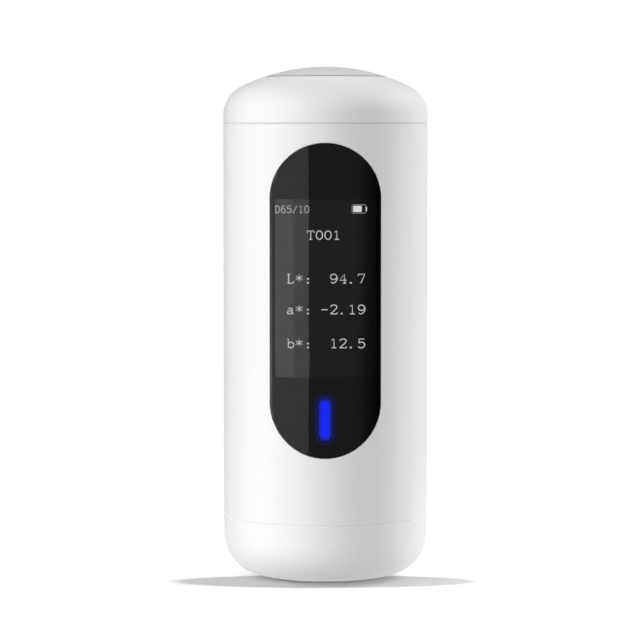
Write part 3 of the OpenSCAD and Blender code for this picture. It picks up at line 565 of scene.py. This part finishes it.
# ---- Shell ----
# White moulded tube between the two seams. A long round-ended recess in its front carries the lens, with a
# window through it for the display and the key, and a slot at the back opens onto the charging socket.
# It is shaped flat, as if unrolled, with x along the curve and y as the radius, and is then rolled up.
ROLL = RADIUS * MM
COLUMN = math.tau / STEPS
BORE = 17
WING = 60
LEDGE = 17.75
SOCKET_WIDE, SOCKET_HIGH, SOCKET_MIDDLE = 8.94, 3.26, 28.63
LENS_LOW, LENS_TOP = measured("panel_lens")[1:]
LENS_WIDE, LENS_LONG, LENS_MIDDLE = 20, LENS_TOP - LENS_LOW, (LENS_LOW + LENS_TOP) / 2
OUTER_WALL = (RADIUS, LOWER_SEAM + SEAM_BEVEL, UPPER_SEAM - SEAM_BEVEL)
INNER_WALL = (BORE, LOWER_SEAM, UPPER_SEAM)


def round_ended(mesh, width, length, middle, depth, points):
    """Upright outline with round ends, square to Y at a depth."""
    small = min(width, length) * MM
    upright = Matrix.Rotation(math.pi / 2, 4, "X") @ Matrix.Rotation(math.pi / points, 4, "Z")
    verts = bmesh.ops.create_circle(mesh, radius=small / 2, segments=points, matrix=upright)["verts"]
    for vert in verts:
        vert.co.x += math.copysign(max(0, width * MM - small) / 2, vert.co.x)
        vert.co.z += math.copysign(max(0, length * MM - small) / 2, vert.co.z) + middle * MM
        vert.co.y = depth * MM
    return [edge for edge in mesh.edges if edge.verts[0] in verts and edge.verts[1] in verts]


def slot_loops(mesh, width, length, middle, *rings):
    """Outlines of a slot cut straight through the unrolled housing, each grown a little and at a radius."""
    loops = [round_ended(mesh, width + grown, length + grown, middle, radius, 48)
             for grown, radius in rings]
    for loop, (grown, radius) in zip(loops, rings):
        for vert in {vert for edge in loop for vert in edge.verts}:
            vert.co.x = math.asin(vert.co.x / (radius * MM)) * ROLL
    return loops


def frame_loop(mesh, radius, low, high):
    """Upright rectangle on the unrolled housing, as wide as a wing to each side."""
    corners = [mesh.verts.new((side * math.radians(WING) * ROLL, radius * MM, height * MM))
               for side, height in ((-1, low), (1, low), (1, high), (-1, high))]
    return [mesh.edges.new((corners[k - 1], corners[k])) for k in range(4)]


def rolled(mesh, reach, columns=1):
    """Cuts the unrolled mesh into narrow columns and rolls it round the upright axis."""
    closed(mesh)
    last = round(math.radians(reach) / COLUMN) * columns
    for k in range(-last, last + 1):
        bmesh.ops.bisect_plane(mesh, geom=mesh.verts[:] + mesh.edges[:] + mesh.faces[:], dist=1e-7,
                               plane_co=(k * COLUMN / columns * ROLL, 0, 0), plane_no=(1, 0, 0))
    for vert in mesh.verts:
        turn = vert.co.x / ROLL
        vert.co = (vert.co.y * math.sin(turn), -vert.co.y * math.cos(turn), vert.co.z)
    return mesh


def joined(mesh, loops):
    """Skin over a row of loops: flat ledges between two at one depth, and walls between the others."""
    for near, far in zip(loops, loops[1:]):
        if abs(near[0].verts[0].co.y - far[0].verts[0].co.y) < 1e-7:
            filled(mesh, near + far)
        else:
            bmesh.ops.bridge_loops(mesh, edges=near + far)


def pierced(mesh, holes):
    """Part of the wall, whose outer and inner faces are joined by loops that step through its thickness."""
    filled(mesh, frame_loop(mesh, *OUTER_WALL) + holes[0])
    joined(mesh, holes)
    filled(mesh, frame_loop(mesh, *INNER_WALL) + holes[-1])
    rolled(mesh, WING)


front = bmesh.new()
pierced(front, slot_loops(front, LENS_WIDE, LENS_LONG, LENS_MIDDLE, (0.44, RADIUS), (0.28, RADIUS - 0.04),
                          (0.2, RADIUS - 0.12), (0.2, LEDGE), (-2, LEDGE), (-2, BORE)))
shell = bmesh.new()
pierced(shell, slot_loops(shell, SOCKET_WIDE, SOCKET_HIGH, SOCKET_MIDDLE, (0.9, RADIUS),
                          (0.69, RADIUS - 0.04), (0.6, RADIUS - 0.15), (0.6, BORE)))
bmesh.ops.rotate(shell, verts=shell.verts, cent=(0, 0, 0), matrix=Matrix.Rotation(math.pi, 3, "Z"))
holder = bpy.data.meshes.new("front")
front.to_mesh(holder)
front.free()
shell.from_mesh(holder)
bpy.data.meshes.remove(holder)
for seam, inward in ((UPPER_SEAM, -SEAM_BEVEL), (LOWER_SEAM, SEAM_BEVEL)):
    rim = [shell.verts.new((r * MM, 0, z * MM))
           for r, z in ((RADIUS, seam + inward), (RADIUS - SEAM_BEVEL, seam), (BORE, seam))]
    edges = [shell.edges.new((rim[k], rim[k + 1])) for k in range(2)]
    bmesh.ops.spin(shell, geom=rim + edges, cent=(0, 0, 0), axis=(0, 0, 1), angle=math.tau, steps=STEPS,
                   use_merge=True)
plain = 180 - 2 * WING
for side in (-1, 1):
    for r, low, high in (OUTER_WALL, INNER_WALL):
        line = [shell.verts.new((side * r * MM, 0, z * MM)) for z in (low, high)]
        bmesh.ops.rotate(shell, verts=line, cent=(0, 0, 0),
                         matrix=Matrix.Rotation(-math.radians(plain / 2), 3, "Z"))
        bmesh.ops.spin(shell, geom=[*line, shell.edges.new(line)], cent=(0, 0, 0), axis=(0, 0, 1),
                       angle=math.radians(plain), steps=round(math.radians(plain) / COLUMN))
closed(shell)
fitted(shown(shell, "shell", housing_white), "instrument", "housing_white", "main_shell")

tape_black = Finish("tape_black", (0.12, 0.12, 0.12), 0.9)
tape_black.mottle(0.0003, 2, (0.09, 0.09, 0.09), (0.15, 0.15, 0.15), 0.00002)
kept(tape_black, "lens_tape")


# ---- Charging socket ----
# A flat oval shell drawn from steel sheet, open to the back, round a black tongue with gold contacts. It
# is soldered to its own small board, and its mouth stands just inside the slot in the shell.
SOCKET_REAR, SOCKET_MOUTH = 10.05, 17.4
CONTACTS, CONTACT_PITCH = 12, 0.5
socket_steel = Finish("socket_steel", (0.7, 0.7, 0.71), 0.25, Metallic=1.0)
socket_steel.mottle(0.0004, 4, (0.62, 0.62, 0.63), (0.76, 0.76, 0.77), 0.000006, (0.18, 0.36))


def stepped(mesh, loops):
    """Skin over a row of loops, closed at both ends."""
    joined(mesh, loops)
    for end in (loops[0], loops[-1]):
        bmesh.ops.edgeloop_fill(mesh, edges=end)


def bar(mesh, middle, size):
    """Square bar in millimetres."""
    place = Matrix.Translation([value * MM for value in middle])
    scale = Matrix.Diagonal((*[value * MM for value in size], 1))
    bmesh.ops.create_cube(mesh, size=1, matrix=place @ scale)


can = bmesh.new()
steps = ((-0.34, SOCKET_REAR), (0, SOCKET_REAR + 0.2), (0, SOCKET_MOUTH - 0.1), (-0.14, SOCKET_MOUTH),
         (-0.44, SOCKET_MOUTH), (-0.6, SOCKET_MOUTH - 0.12), (-0.6, SOCKET_REAR + 1))
stepped(can, [round_ended(can, SOCKET_WIDE + grown, SOCKET_HIGH + grown, SOCKET_MIDDLE, depth, 32)
              for grown, depth in steps])
fitted(shown(closed(can), "charging_socket", socket_steel), "instrument", "socket_steel", "usb_socket")

tongue = bmesh.new()
bar(tongue, (0, 13.775, SOCKET_MIDDLE), (6.7, 5.45, 0.7))
eased(tongue, 0.12)
fitted(shown(closed(tongue), "socket_tongue", chip_black), "instrument", "chip_black")

contact_gold = Finish("contact_gold", (0.9, 0.66, 0.28), 0.25, Metallic=1.0)
contact_gold.mottle(0.0004, 3, (0.8, 0.56, 0.2), (0.94, 0.72, 0.34), 0.000004)
contacts = bmesh.new()
for k in range(CONTACTS):
    for face in (-1, 1):
        bar(contacts, ((k - (CONTACTS - 1) / 2) * CONTACT_PITCH, 14.2, SOCKET_MIDDLE + face * 0.355),
            (0.26, 3.6, 0.03))
fitted(shown(contacts, "socket_contacts", contact_gold), "instrument", "socket_steel")


# ---- Display ----
# Laminated display panel in a moulded tray, behind the lens. Its readout is lit: the setting and the cell's
# charge along the top, the record's number, and the three colour figures, in a typewriter face.
GLASS_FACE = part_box("display_module")[0].y - 0.02 * MM
display_dark = Finish("display_dark", (0.012, 0.013, 0.015), 0.12, Specular_IOR_Level=0.15)
film = display_dark.grain(0.003, 2)
display_dark.set("Roughness", display_dark.between(film, 0.06, 0.12))
display_dark.set("Base Color", display_dark.between(film, (0.006, 0.006, 0.007), (0.009, 0.009, 0.01)))
kept(display_dark, "display_module")

CHARACTERS = {
    "0": [("ring", (2.5, 9), (4.3, 7.1), (4.6, 4.5), (4.3, 1.9), (2.5, 0), (0.7, 1.9), (0.4, 4.5),
           (0.7, 7.1))],
    "1": [("line", (1, 7.7), (2.6, 9), (2.6, 0)), ("line", (1.1, 0), (4.1, 0))],
    "2": [("bow", (0.5, 7), (1.1, 8.5), (2.6, 9), (4.2, 8.2), (4.4, 6.4), (2.9, 3.6), (0.4, 0)),
          ("line", (0.4, 0), (4.5, 0), (4.7, 1.5))],
    "4": [("line", (3.5, 0), (3.5, 9), (0.3, 2.9), (4.9, 2.9)), ("line", (2.4, 0), (4.6, 0))],
    "5": [("line", (4.3, 9), (1, 9), (0.8, 5)),
          ("bow", (0.8, 5), (2.4, 5.8), (4.1, 4.9), (4.5, 2.9), (3.8, 0.8), (2, 0), (0.4, 1.2))],
    "6": [("bow", (4.2, 8), (3, 9), (1.3, 7.7), (0.4, 4.6), (0.6, 1.9), (2.5, 0), (4.2, 1.1), (4.5, 2.9),
           (3.8, 4.9), (2.4, 5.4), (0.9, 4.3), (0.5, 3))],
    "7": [("line", (0.4, 7.4), (0.5, 9), (4.6, 9), (2.1, 0))],
    "9": [("bow", (0.8, 1), (2, 0), (3.7, 1.3), (4.6, 4.4), (4.4, 7.1), (2.5, 9), (0.8, 7.9), (0.5, 6.1),
           (1.2, 4.1), (2.6, 3.6), (4.1, 4.7), (4.5, 6))],
    "D": [("line", (1, 9), (1, 0)),
          ("bow", (0.3, 9), (2.4, 9), (4.1, 7.5), (4.6, 4.5), (4.1, 1.5), (2.4, 0), (0.3, 0))],
    "L": [("line", (1.3, 9), (1.3, 0)), ("line", (0.4, 9), (2.3, 9)),
          ("line", (0.4, 0), (4.6, 0), (4.7, 1.9))],
    "T": [("line", (0.2, 7.2), (0.3, 9), (4.7, 9), (4.8, 7.2)), ("line", (2.5, 9), (2.5, 0)),
          ("line", (1.4, 0), (3.6, 0))],
    "a": [("bow", (0.8, 4.8), (2.2, 5.8), (3.6, 5.1), (3.7, 3.8)),
          ("line", (3.7, 3.8), (3.7, 0.8), (4.8, 0)),
          ("bow", (3.7, 3.4), (1.9, 3.1), (0.6, 2), (0.9, 0.4), (2.2, 0), (3.7, 1.1))],
    "b": [("line", (0.2, 9), (1.1, 9), (1.1, 0)),
          ("bow", (1.1, 4.4), (2.8, 5.8), (4.3, 4.8), (4.6, 2.9), (4.1, 0.9), (2.7, 0), (1.1, 1.3))],
    "*": [("hair", (2.5, 8.6), (2.5, 1.8)), ("hair", (0.2, 7.1), (4.8, 3.3)),
          ("hair", (0.2, 3.3), (4.8, 7.1))],
    "[": [("ring", (0.3, 0), (3, 0), (5.7, 0), (6, 1), (6, 4.5), (6, 8), (5.7, 9), (3, 9), (0.3, 9), (0, 8),
           (0, 4.5), (0, 1))],
    ":": [("ring", (2.5, 4.7), (2.9, 4.3), (2.5, 3.9), (2.1, 4.3)),
          ("ring", (2.5, 0.7), (2.9, 0.3), (2.5, -0.1), (2.1, 0.3))],
    ".": [("ring", (1.6, 0.7), (2, 0.3), (1.6, -0.1), (1.2, 0.3))],
    "/": [("line", (0.5, -0.5), (4.5, 9.4))],
    "-": [("line", (0.4, 4.2), (4.6, 4.2))],
    " ": [],
}
CHARACTER_WIDE, CHARACTER_HIGH = 6, 9


def lit_paint(name, strength, low, high):
    """Light that varies a little from place to place."""
    paint = Finish(name, (0, 0, 0), 0.5, Emission_Strength=strength)
    paint.set("Emission Color", paint.between(paint.grain(0.0008, 2), low, high))
    return paint


def written(words, name, left, base, high, pitch, finish, width=0.088):
    """Line of lit characters on the display's face, each drawn with strokes of one width."""
    ink = bpy.data.curves.new(name, "CURVE")
    ink.dimensions, ink.resolution_u = "3D", 5
    ink.bevel_depth, ink.bevel_resolution, ink.use_fill_caps = width * MM, 1, True
    for k, character in enumerate(words):
        for kind, *points in CHARACTERS[character]:
            stroke = ink.splines.new("BEZIER")
            stroke.bezier_points.add(len(points) - 1)
            stroke.use_cyclic_u = kind == "ring"
            for knot, (across, up) in zip(stroke.bezier_points, points):
                knot.co = ((left + (k + across / CHARACTER_WIDE) * pitch) * MM,
                           (base + up / CHARACTER_HIGH * high) * MM, 0)
                straight = kind in ("line", "hair")
                knot.handle_left_type = knot.handle_right_type = "VECTOR" if straight else "AUTO"
                knot.radius = 0.78 if kind == "hair" else 1
    upright = bpy.data.objects.new(name, ink)
    bpy.context.scene.collection.objects.link(upright)
    made = bpy.data.meshes.new_from_object(upright.evaluated_get(bpy.context.evaluated_depsgraph_get()))
    bpy.data.objects.remove(upright)
    made.transform(Matrix.Translation((0, GLASS_FACE, 0)) @ Matrix.Rotation(math.pi / 2, 4, "X")
                   @ Matrix.Diagonal((1, 1, 0.08, 1)))
    made.materials.append(finish.material)
    piece = bpy.data.objects.new(name, made)
    bpy.context.scene.collection.objects.link(piece)
    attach(piece, "instrument")


readout_lit = lit_paint("readout_lit", 1.8, (0.8, 0.81, 0.82), (0.9, 0.9, 0.9))
status_lit = lit_paint("status_lit", 1.8, (0.4, 0.41, 0.42), (0.5, 0.5, 0.5))
written("D65/10", "setting", -9.05, 68.27, 1.26, 1.05, status_lit)
written("T001", "record_number", -3.3, 63.43, 1.53, 1.56, readout_lit)
for sign, figure, base in (("L*:", " 94.7", 55.46), ("a*:", "-2.19", 49.84), ("b*:", " 12.5", 43.63)):
    written(sign, "sign_" + sign[0], -6.95, base, 1.62, 1.58, readout_lit)
    written(figure, "figure_" + sign[0], -0.85, base, 1.62, 1.658, readout_lit)
written("[", "charge_case", 4.8, 68.25, 1.45, 2.4, status_lit, width=0.055)


def plate(mesh, left, right, low, high, round_by):
    """Flat plate with round corners on the display's face."""
    place = (Matrix.Translation(((left + right) / 2 * MM, GLASS_FACE, (low + high) / 2 * MM))
             @ Matrix.Rotation(math.pi / 2, 4, "X")
             @ Matrix.Diagonal(((right - left) * MM, (high - low) * MM, 1, 1)))
    verts = bmesh.ops.create_grid(mesh, x_segments=1, y_segments=1, size=0.5, matrix=place)["verts"]
    bmesh.ops.bevel(mesh, geom=verts, offset=round_by * MM, affect="VERTICES", segments=4, profile=0.5,
                    material=-1)


charge = bmesh.new()
plate(charge, 7.28, 7.44, 68.6, 69.34, 0.05)
plate(charge, 4.98, 6.5, 68.42, 69.54, 0.15)
charge_lit = lit_paint("charge_lit", 2.4, (0.78, 0.79, 0.8), (0.86, 0.86, 0.86))
charge_sign = shown(charge, "charge_sign", charge_lit)
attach(charge_sign, "instrument")


# ---- Lens ----
# Smoked acrylic bent to the radius of the housing and polished, with a black print behind its border. The
# display shows through the clear window in the print, and the key comes through a slot.
KEY_LOW, KEY_TOP = measured("pill_key")[1:]
KEY_WIDE, KEY_LONG, KEY_MIDDLE = 2.3, 7.6, (KEY_LOW + KEY_TOP) / 2
TAPE_FACE = 17.9
LENS_BACK = TAPE_FACE + 0.06
CLEAR_HALF, CLEAR_LOW, CLEAR_TOP = 8.92, 38.5, 70.8


def off_key(finish):
    """Distance from the middle line of the key's bar."""
    x, y, z = finish.axes()
    past_end = (abs(z - KEY_MIDDLE * MM) - (KEY_LONG - KEY_WIDE) / 2 * MM).most(0)
    return (x * x + past_end * past_end) ** 0.5


lens_black = Finish("lens_black", (0.004, 0.004, 0.004), 0.5, Specular_IOR_Level=0, Emission_Strength=1)
lens_black.set("Roughness", lens_black.between(lens_black.grain(0.006, 2), 0.4, 0.6))
# Painted light: the black print glows blue round the key's slot, as if the key's lamps shone into it.
past_painted_glow = lens_black.step(off_key(lens_black), 1.3 * MM, 2.3 * MM)
lens_black.set("Emission Color", lens_black.between(past_painted_glow, (0.001, 0.003, 0.12), (0, 0, 0)))
lens_clear = Finish("lens_clear", (0.36, 0.36, 0.364), 0.0, Transmission_Weight=1.0, IOR=1.45)
lens_clear.set("Roughness", lens_clear.between(lens_clear.grain(0.006, 2), 0.0, 0.02))

lens = bmesh.new()
rim = slot_loops(lens, LENS_WIDE, LENS_LONG, LENS_MIDDLE,
                 (-0.1, RADIUS), (0, RADIUS - 0.05), (0, LENS_BACK))
slot = slot_loops(lens, KEY_WIDE, KEY_LONG, KEY_MIDDLE,
                  (0.4, RADIUS), (0.3, RADIUS - 0.05), (0.3, LENS_BACK))
for side in (rim, slot):
    joined(lens, side)
for k in (0, -1):
    filled(lens, rim[k] + slot[k])
for across, up in ((-CLEAR_HALF, 0), (CLEAR_HALF, 0), (0, CLEAR_LOW), (0, CLEAR_TOP)):
    bmesh.ops.bisect_plane(lens, geom=lens.verts[:] + lens.edges[:] + lens.faces[:], dist=1e-7,
                           plane_co=(math.asin(across / TAPE_FACE) * ROLL, 0, up * MM),
                           plane_no=(not up, 0, bool(up)))
closed(rolled(lens, 35))
lens.normal_update()
for face in lens.faces:
    middle = face.calc_center_median()
    outward = face.normal.xy.dot(middle.xy.normalized())
    in_window = abs(middle.x) < CLEAR_HALF * MM and CLEAR_LOW * MM < middle.z < CLEAR_TOP * MM
    face.material_index = outward > 0.9 or (outward < -0.9 and in_window)
fitted(shown(closed(lens), "lens", lens_black, lens_clear), "instrument", "smoked_lens", "panel_lens")


# ---- Key ----
# Translucent blue bar moulded with a flange, which comes through the lens, flush with it. Two lamps light
# it from behind, so it is brightest along its middle. Its stem works a small push switch.
key_blue = Finish("key_blue", (0.002, 0.004, 0.1), 0.25, Specular_IOR_Level=0.12, Emission_Strength=1)
dim = key_blue.step(off_key(key_blue), 0.4 * MM, 1.2 * MM)
key_blue.set("Emission Color", key_blue.between(dim, (0.005, 0.016, 0.8), (0.008, 0.01, 0.12)))
key_blue.set("Roughness", key_blue.between(key_blue.grain(0.0004, 2), 0.2, 0.35))

key = bmesh.new()
bar_loops = slot_loops(key, KEY_WIDE, KEY_LONG, KEY_MIDDLE, (-0.4, RADIUS), (-0.12, RADIUS - 0.07),
                       (0, RADIUS - 0.2), (0, LEDGE - 0.01))
flange = slot_loops(key, KEY_WIDE + 1.6, KEY_LONG + 1.3, KEY_MIDDLE, (0, LEDGE - 0.01), (0, BORE - 0.05))
stepped(key, bar_loops + flange)
rolled(key, 10, columns=2)
place = Matrix.Translation((0, -14.8 * MM, KEY_MIDDLE * MM)) @ Matrix.Rotation(math.pi / 2, 4, "X")
bmesh.ops.create_cone(key, cap_ends=True, segments=32, radius1=1.1 * MM, radius2=1.1 * MM, depth=4.5 * MM,
                      matrix=place)
stem_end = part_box("pill_key")[1].y
for vert in key.verts:
    vert.co.y = min(vert.co.y, stem_end)
fitted(shown(closed(key), "key_bar", key_blue), "key", "key_blue", "pill_key")


# ---- Top cap ----
# White moulded dome that snaps into the housing at the upper seam, with a round hole in its crown for the
# button and a collar that guides it. The same moulding and gloss as the shell.
CROWN = (0, 59.432)
ROUND = (13, 86)
COLLAR, COLLAR_LOW, COLLAR_TOP = 12.6, 88.5, 90.546
SKIRT, SKIRT_BORE, SKIRT_LOW = 16.9, 15.5, measured("top_cap")[1]
cap = turned((RADIUS - SEAM_BEVEL, UPPER_SEAM), (RADIUS, UPPER_SEAM + SEAM_BEVEL), (RADIUS, ROUND[1]),
             (*ROUND, 63.9), (*CROWN, 7.42), (CAP_HOLE, COLLAR_LOW), (COLLAR, COLLAR_LOW),
             (COLLAR, COLLAR_TOP), (*CROWN, -4.06), (*ROUND, -63.9), (SKIRT_BORE, ROUND[1]),
             (SKIRT_BORE, SKIRT_LOW), (SKIRT, SKIRT_LOW), (SKIRT, UPPER_SEAM), ease=0.05)
fitted(shown(cap, "cap", housing_white), "instrument", "housing_white", "top_cap")


# ---- Top button ----
# Satin warm grey disc that completes the crown. It slides in the collar against a coil spring, and its stem
# works a push switch. Three lugs under the collar keep it in.
BUTTON_LOW, TOP = measured("top_button")[1:]
BUTTON_RADIUS, BUTTON_BORE = 11.2, 9.8
SPRING_IN, SPRING_OUT, SPRING_HEAD = 5.4, 6.6, 92.2
STEM, STEM_LOW = 1.6, 89.4
LUG_IN, LUG_OUT, LUG_SPREAD = 10.6, 12.35, 28
button_grey = Finish("button_grey", (0.8, 0.775, 0.75), 0.42)
cloud = button_grey.grain(0.005, 2)
satin = button_grey.grain(0.0003, 2)
# Painted shade: the base colour darkens in a narrow ring at the button's edge, where the gap to the cap is.
edge_shade = button_grey.step(button_grey.from_axis(), (BUTTON_RADIUS - 0.4) * MM, (BUTTON_RADIUS - 0.15) * MM)
pale = button_grey.between(cloud, (0.77, 0.755, 0.74), (0.8, 0.785, 0.77))
button_grey.set("Base Color", button_grey.between(edge_shade * 0.75, pale, (0.15, 0.15, 0.15)))
button_grey.set("Roughness", button_grey.between(satin, 0.36, 0.5))
button_grey.bump(satin, 0.000006)
button = turned((0, TOP), (*CROWN, -18.36), (BUTTON_RADIUS, BUTTON_LOW), (BUTTON_BORE, BUTTON_LOW),
                (BUTTON_BORE, 92.165), (SPRING_OUT, 92.957), (SPRING_OUT, SPRING_HEAD),
                (SPRING_IN, SPRING_HEAD), (SPRING_IN, 93.17), (STEM, 93.56), (STEM, STEM_LOW), (0, STEM_LOW),
                ease=0.08)
for turn in THIRDS:
    lug = [button.verts.new((r * MM, 0, z * MM)) for r, z in (
        (LUG_IN, BUTTON_LOW), (LUG_OUT, BUTTON_LOW), (LUG_OUT, COLLAR_LOW), (LUG_IN, COLLAR_LOW))]
    bmesh.ops.rotate(button, verts=lug, cent=(0, 0, 0),
                     matrix=Matrix.Rotation(math.radians(turn - LUG_SPREAD / 2), 3, "Z"))
    start = button.faces.new(lug)
    bmesh.ops.spin(button, geom=[*lug, *start.edges, start], cent=(0, 0, 0), axis=(0, 0, 1),
                   angle=math.radians(LUG_SPREAD), steps=8)
fitted(shown(closed(button), "button", button_grey), "button", "button_grey", "top_button")

coil = bpy.data.objects.new("return_spring", nodes["button_spring"].data.copy())
coil.matrix_world = nodes["button_spring"].matrix_world
bpy.context.scene.collection.objects.link(coil)
coil.data.materials.clear()
coil.data.materials.append(steel.material)
fitted(coil, "instrument", "steel", "button_spring")
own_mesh(coil)
